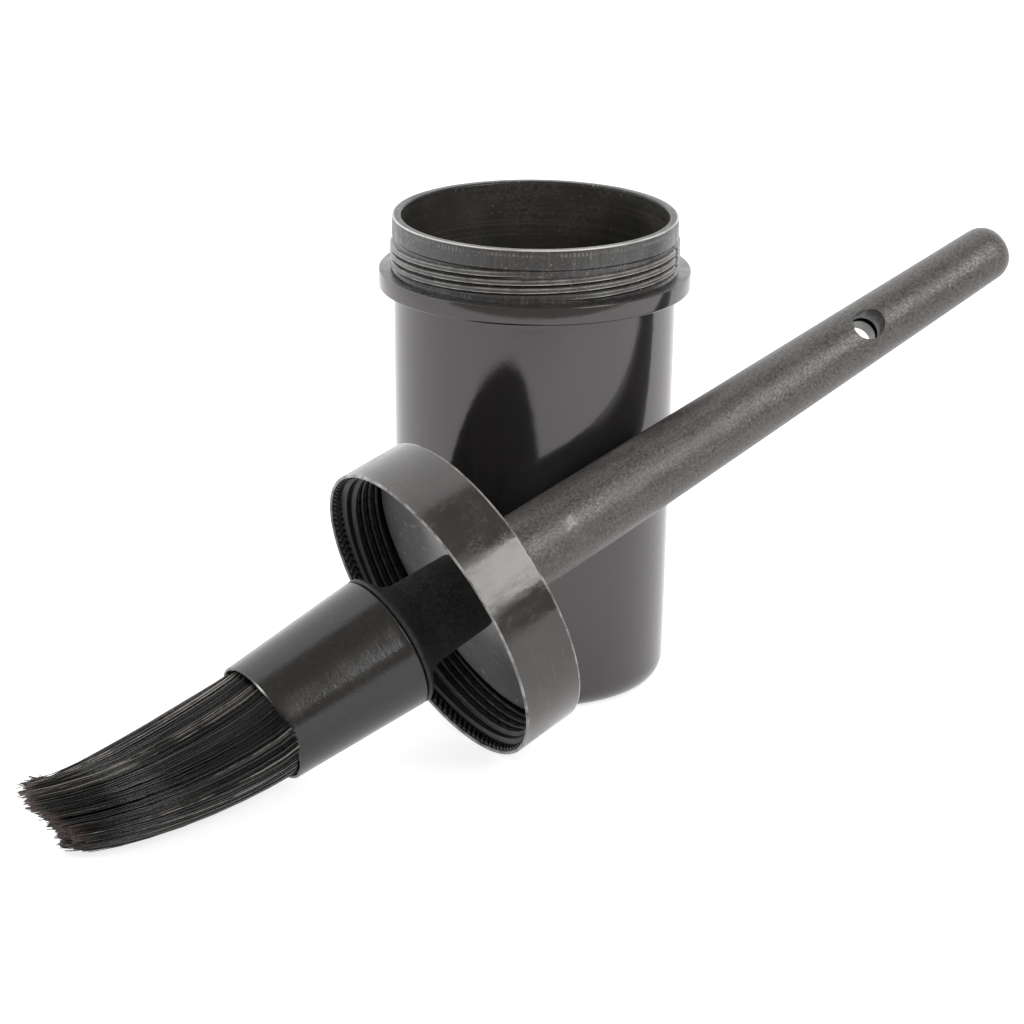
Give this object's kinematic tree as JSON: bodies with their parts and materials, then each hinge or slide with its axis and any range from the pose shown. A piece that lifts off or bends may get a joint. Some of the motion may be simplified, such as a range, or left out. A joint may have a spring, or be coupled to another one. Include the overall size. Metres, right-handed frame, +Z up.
{
  "type": "brush with screw cap and jar",
  "caption": "Round bristle brush whose handle carries a screw cap, leaning beside the open threaded jar that the brush is kept in.",
  "frame": {"origin": "centre of the jar's flat base, on the floor", "axes": "+Z up along the jar's axis; +X along the plan direction of the leaning brush, from bristles to handle tip; +Y from the brush towards the jar"},
  "size_m": [0.2571, 0.112, 0.1094],
  "materials": {
    "jar": "glossy moulded black plastic",
    "cap": "glossy moulded black plastic with fine scratches",
    "cap_seal": "smooth dark grey liner",
    "handle": "matt dark grey plastic, lightly scuffed",
    "stem": "matt near-black plastic",
    "ferrule": "satin black plastic",
    "bristle_set": "cast resin",
    "bristles": "black natural bristle with brownish ends"
  },
  "bodies": {
    "jar": {"jar": "jar"},
    "brush": {"cap": "cap", "cap_seal": "cap_seal", "handle": "handle", "stem": "stem", "ferrule": "ferrule", "bristle_set": "bristle_set", "bristles": "bristles"}
  },
  "joints": [
    {"name": "brush_lift", "type": "slide", "parent": "jar", "child": "brush", "axis": [0, -0.6, 0.8], "range_m": [0, 0.2]}
  ]
}
